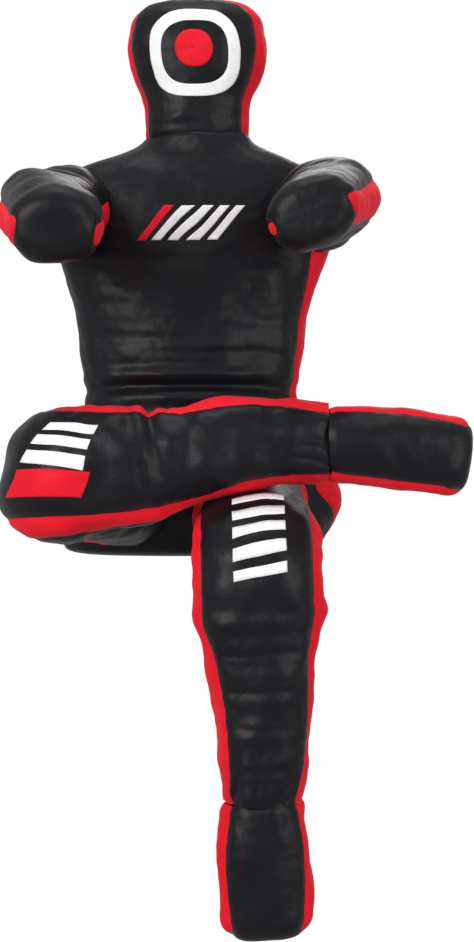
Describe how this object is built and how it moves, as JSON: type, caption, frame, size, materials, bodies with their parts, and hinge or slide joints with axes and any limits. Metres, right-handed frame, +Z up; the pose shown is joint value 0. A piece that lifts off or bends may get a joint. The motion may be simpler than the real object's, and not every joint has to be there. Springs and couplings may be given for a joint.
{
  "type": "grappling dummy",
  "caption": "Seated stuffed grappling dummy: black and red sewn cloth tubes for head, torso and limbs, bendable at waist, neck, shoulders, elbows, hips, knees and ankles.",
  "frame": {"origin": "middle of the flat seat face under the pelvis, below the waist", "axes": "+X to the dummy's left, -Y the way it faces, +Z up"},
  "size_m": [0.7033, 0.5611, 1.4803],
  "materials": {
    "black_cloth": "black satin-faced synthetic cloth, soft sheen",
    "red_cloth": "bright red synthetic cloth, matt to soft sheen",
    "stuffing": "shredded textile filling, matt",
    "white_print": "white heat-transfer print, smooth",
    "red_print": "red heat-transfer print, smooth",
    "zip_tape": "black woven zip tape",
    "zip_plastic": "black moulded zip teeth",
    "zip_metal": "black enamelled zip slider and pull"
  },
  "bodies": {
    "pelvis": {"pelvis_filling": "stuffing", "pelvis_front_panel": "black_cloth", "pelvis_seat_panel": "black_cloth", "pelvis_gussets": "red_cloth"},
    "torso": {"torso_filling": "stuffing", "torso_front_panel": "black_cloth", "torso_back_panel": "black_cloth", "torso_gussets": "red_cloth", "chest_print": "white_print", "back_zip_tape": "zip_tape", "back_zip_teeth": "zip_plastic", "back_zip_slider": "zip_metal", "back_zip_pull": "zip_metal"},
    "head": {"head_filling": "stuffing", "head_front_panel": "black_cloth", "head_back_panel": "black_cloth", "head_gussets": "red_cloth", "target_ring": "white_print", "target_dot": "red_print"},
    "right_upper_arm": {"right_upper_arm_filling": "stuffing", "right_upper_arm_panels": "black_cloth", "right_upper_arm_gussets": "red_cloth"},
    "right_forearm": {"right_forearm_filling": "stuffing", "right_forearm_panels": "black_cloth", "right_forearm_gussets": "red_cloth"},
    "right_thigh": {"right_thigh_filling": "stuffing", "right_thigh_front_panel": "black_cloth", "right_thigh_back_panel": "black_cloth", "right_thigh_gussets": "red_cloth"},
    "right_shin": {"right_shin_filling": "stuffing", "right_shin_front_panel": "black_cloth", "right_shin_back_panel": "black_cloth", "right_shin_gussets": "red_cloth", "right_shin_print": "white_print"},
    "right_foot": {"right_foot_filling": "stuffing", "right_foot_panels": "black_cloth", "right_foot_gussets": "red_cloth"},
    "left_upper_arm": {"left_upper_arm_filling": "stuffing", "left_upper_arm_panels": "black_cloth", "left_upper_arm_gussets": "red_cloth"},
    "left_forearm": {"left_forearm_filling": "stuffing", "left_forearm_panels": "black_cloth", "left_forearm_gussets": "red_cloth"},
    "left_thigh": {"left_thigh_filling": "stuffing", "left_thigh_front_panel": "black_cloth", "left_thigh_back_panel": "black_cloth", "left_thigh_gussets": "red_cloth"},
    "left_shin": {"left_shin_filling": "stuffing", "left_shin_front_panel": "black_cloth", "left_shin_back_panel": "black_cloth", "left_shin_gussets": "red_cloth", "left_shin_print": "white_print"},
    "left_foot": {"left_foot_filling": "stuffing", "left_foot_panels": "black_cloth", "left_foot_gussets": "red_cloth"}
  },
  "joints": [
    {"name": "waist_bend", "type": "hinge", "parent": "pelvis", "child": "torso", "pos_m": [0, 0, 0.265], "axis": [1, 0, 0], "range_deg": [-15, 20]},
    {"name": "neck_nod", "type": "hinge", "parent": "torso", "child": "head", "pos_m": [0, 0, 0.698], "axis": [1, 0, 0], "range_deg": [-18, 18]},
    {"name": "right_shoulder_lift", "type": "hinge", "parent": "torso", "child": "right_upper_arm", "pos_m": [-0.208, -0.005, 0.578], "axis": [-1, 0, 0], "range_deg": [-12, 50]},
    {"name": "left_shoulder_lift", "type": "hinge", "parent": "torso", "child": "left_upper_arm", "pos_m": [0.208, -0.005, 0.578], "axis": [-1, 0, 0], "range_deg": [-12, 50]},
    {"name": "right_elbow_bend", "type": "hinge", "parent": "right_upper_arm", "child": "right_forearm", "pos_m": [-0.217, -0.19, 0.556], "axis": [0, 0, 1], "range_deg": [-8, 25]},
    {"name": "left_elbow_bend", "type": "hinge", "parent": "left_upper_arm", "child": "left_forearm", "pos_m": [0.217, -0.19, 0.556], "axis": [0, 0, -1], "range_deg": [-8, 25]},
    {"name": "right_hip_lift", "type": "hinge", "parent": "pelvis", "child": "right_thigh", "pos_m": [-0.095, -0.015, 0.098], "axis": [-1, 0, 0], "range_deg": [0, 12]},
    {"name": "left_hip_lift", "type": "hinge", "parent": "pelvis", "child": "left_thigh", "pos_m": [0.095, -0.015, 0.098], "axis": [-1, 0, 0], "range_deg": [-15, 0]},
    {"name": "right_knee_straighten", "type": "hinge", "parent": "right_thigh", "child": "right_shin", "pos_m": [-0.159, -0.345, 0.143], "axis": [0.0942, -0.1524, -0.9838], "range_deg": [0, 60]},
    {"name": "left_knee_straighten", "type": "hinge", "parent": "left_thigh", "child": "left_shin", "pos_m": [0.104, -0.375, 0.034], "axis": [-0.9995, -0.0204, -0.026], "range_deg": [-12, 60]},
    {"name": "right_ankle_flex", "type": "hinge", "parent": "right_shin", "child": "right_foot", "pos_m": [0.217, -0.345, 0.179], "axis": [0.0942, -0.1524, -0.9838], "range_deg": [-20, 20]},
    {"name": "left_ankle_flex", "type": "hinge", "parent": "left_shin", "child": "left_foot", "pos_m": [0.114, -0.375, -0.35], "axis": [1, 0, 0], "range_deg": [-20, 20]}
  ]
}
